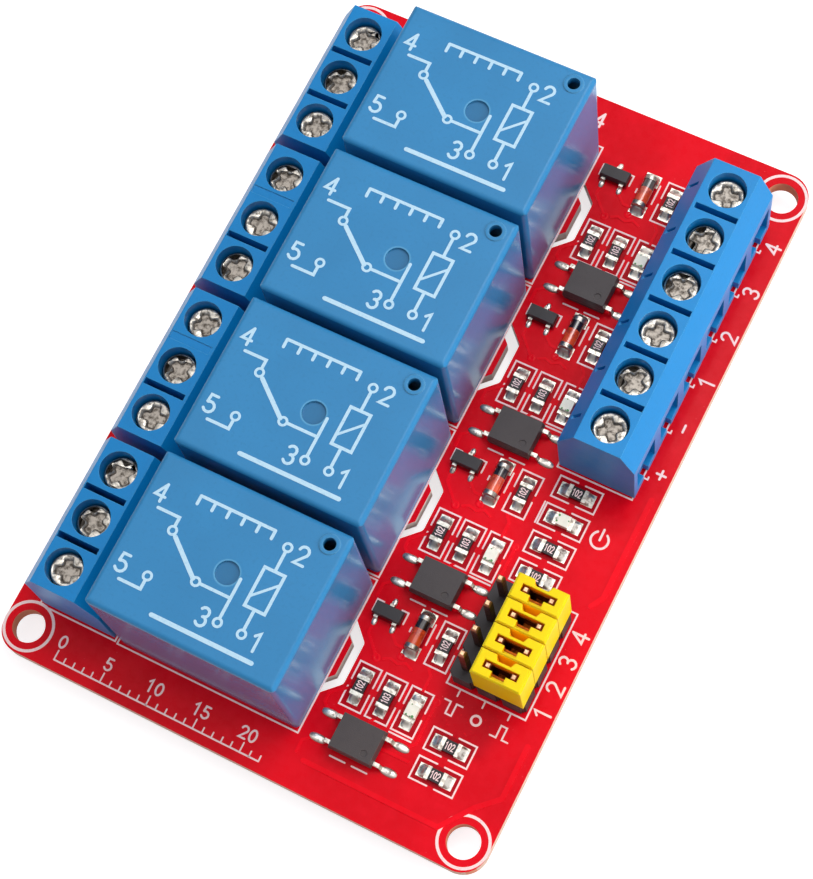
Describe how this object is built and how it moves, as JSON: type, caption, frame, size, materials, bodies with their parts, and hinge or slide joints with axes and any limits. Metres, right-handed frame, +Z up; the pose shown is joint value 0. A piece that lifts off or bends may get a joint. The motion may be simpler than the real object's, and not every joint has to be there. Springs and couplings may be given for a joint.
{
  "type": "relay module board",
  "caption": "Relay module board: a red circuit board with blue relays, screw terminals, opto-isolated inputs and yellow jumpers that set each trigger level.",
  "frame": {"origin": "centre of the four mounting holes, on the underside of the board", "axes": "+X along the short side from the output terminals to the input terminals, +Y along the long side away from the jumpers, +Z up out of the component side"},
  "size_m": [0.051, 0.075, 0.0188],
  "materials": {
    "board": "glossy red solder mask over glass laminate",
    "solder": "bright solder",
    "relay_case": "satin blue case plastic",
    "relay_base": "dark blue moulding",
    "coil_former": "natural moulding",
    "coil_wire": "enamelled copper wire",
    "core_iron": "plated iron",
    "yoke_iron": "plated iron",
    "armature_iron": "plated iron",
    "contact_spring": "copper alloy leaf",
    "contact_metal": "copper alloy with silver contact",
    "relay_pin": "tinned",
    "terminal_plastic": "satin blue housing plastic",
    "clamp_screw": "nickel plated, worn",
    "clamp_cage": "nickel plated",
    "terminal_pin": "tinned",
    "header_plastic": "black moulding",
    "header_pin": "tinned",
    "jumper_plastic": "bright yellow moulding",
    "clip_metal": "spring bronze",
    "opto_body": "dark moulding compound",
    "lead_metal": "tinned",
    "transistor_body": "dark moulding compound",
    "diode_glass": "orange glass with a dark band",
    "diode_cap": "tinned",
    "resistor_body": "black coated ceramic",
    "lamp_body": "cream resin",
    "chip_cap": "tinned",
    "chip_solder": "bright solder"
  },
  "bodies": {
    "module": {"pcb": "board", "solder_joints": "solder", "relay_cover_1": "relay_case", "relay_cover_2": "relay_case", "relay_cover_3": "relay_case", "relay_cover_4": "relay_case", "relay_bases": "relay_base", "relay_bobbins": "coil_former", "relay_windings": "coil_wire", "relay_cores": "core_iron", "relay_yokes": "yoke_iron", "relay_nc_contacts": "contact_metal", "relay_no_contacts": "contact_metal", "relay_coil_pins": "relay_pin", "relay_com_pins": "relay_pin", "output_terminal_1": "terminal_plastic", "output_terminal_2": "terminal_plastic", "output_terminal_3": "terminal_plastic", "output_terminal_4": "terminal_plastic", "output_clamp_screws": "clamp_screw", "output_clamp_cages": "clamp_cage", "output_terminal_pins": "terminal_pin", "input_terminal": "terminal_plastic", "input_clamp_screws": "clamp_screw", "input_clamp_cages": "clamp_cage", "input_terminal_pins": "terminal_pin", "header_strip": "header_plastic", "header_pins": "header_pin", "optocoupler_bodies": "opto_body", "optocoupler_leads": "lead_metal", "transistor_bodies": "transistor_body", "transistor_leads": "lead_metal", "diode_glasses": "diode_glass", "diode_end_caps": "diode_cap", "chip_resistors": "resistor_body", "led_chips": "lamp_body", "chip_end_caps": "chip_cap", "smd_solder": "chip_solder"},
    "jumper_1": {"jumper_cap_1": "jumper_plastic", "jumper_clip_1": "clip_metal"},
    "armature_1": {"relay_armature_1": "armature_iron", "relay_contact_spring_1": "contact_spring"},
    "jumper_2": {"jumper_cap_2": "jumper_plastic", "jumper_clip_2": "clip_metal"},
    "armature_2": {"relay_armature_2": "armature_iron", "relay_contact_spring_2": "contact_spring"},
    "jumper_3": {"jumper_cap_3": "jumper_plastic", "jumper_clip_3": "clip_metal"},
    "armature_3": {"relay_armature_3": "armature_iron", "relay_contact_spring_3": "contact_spring"},
    "jumper_4": {"jumper_cap_4": "jumper_plastic", "jumper_clip_4": "clip_metal"},
    "armature_4": {"relay_armature_4": "armature_iron", "relay_contact_spring_4": "contact_spring"}
  },
  "joints": [
    {"name": "armature_hinge_1", "type": "hinge", "parent": "module", "child": "armature_1", "pos_m": [0.002, -0.02453, 0.01389], "axis": [0, -1, 0], "range_deg": [0, 3], "stiffness_Nm_per_rad": 0.005, "springref_deg": -6.88},
    {"name": "jumper_lift_1", "type": "slide", "parent": "module", "child": "jumper_1", "axis": [0, 0, 1], "range_m": [0, 0.008]},
    {"name": "armature_hinge_2", "type": "hinge", "parent": "module", "child": "armature_2", "pos_m": [0.002, -0.00817, 0.01389], "axis": [0, -1, 0], "range_deg": [0, 3], "stiffness_Nm_per_rad": 0.005, "springref_deg": -6.88},
    {"name": "jumper_lift_2", "type": "slide", "parent": "module", "child": "jumper_2", "axis": [0, 0, 1], "range_m": [0, 0.008]},
    {"name": "armature_hinge_3", "type": "hinge", "parent": "module", "child": "armature_3", "pos_m": [0.002, 0.00817, 0.01389], "axis": [0, -1, 0], "range_deg": [0, 3], "stiffness_Nm_per_rad": 0.005, "springref_deg": -6.88},
    {"name": "jumper_lift_3", "type": "slide", "parent": "module", "child": "jumper_3", "axis": [0, 0, 1], "range_m": [0, 0.008]},
    {"name": "armature_hinge_4", "type": "hinge", "parent": "module", "child": "armature_4", "pos_m": [0.002, 0.02453, 0.01389], "axis": [0, -1, 0], "range_deg": [0, 3], "stiffness_Nm_per_rad": 0.005, "springref_deg": -6.88},
    {"name": "jumper_lift_4", "type": "slide", "parent": "module", "child": "jumper_4", "axis": [0, 0, 1], "range_m": [0, 0.008]}
  ]
}
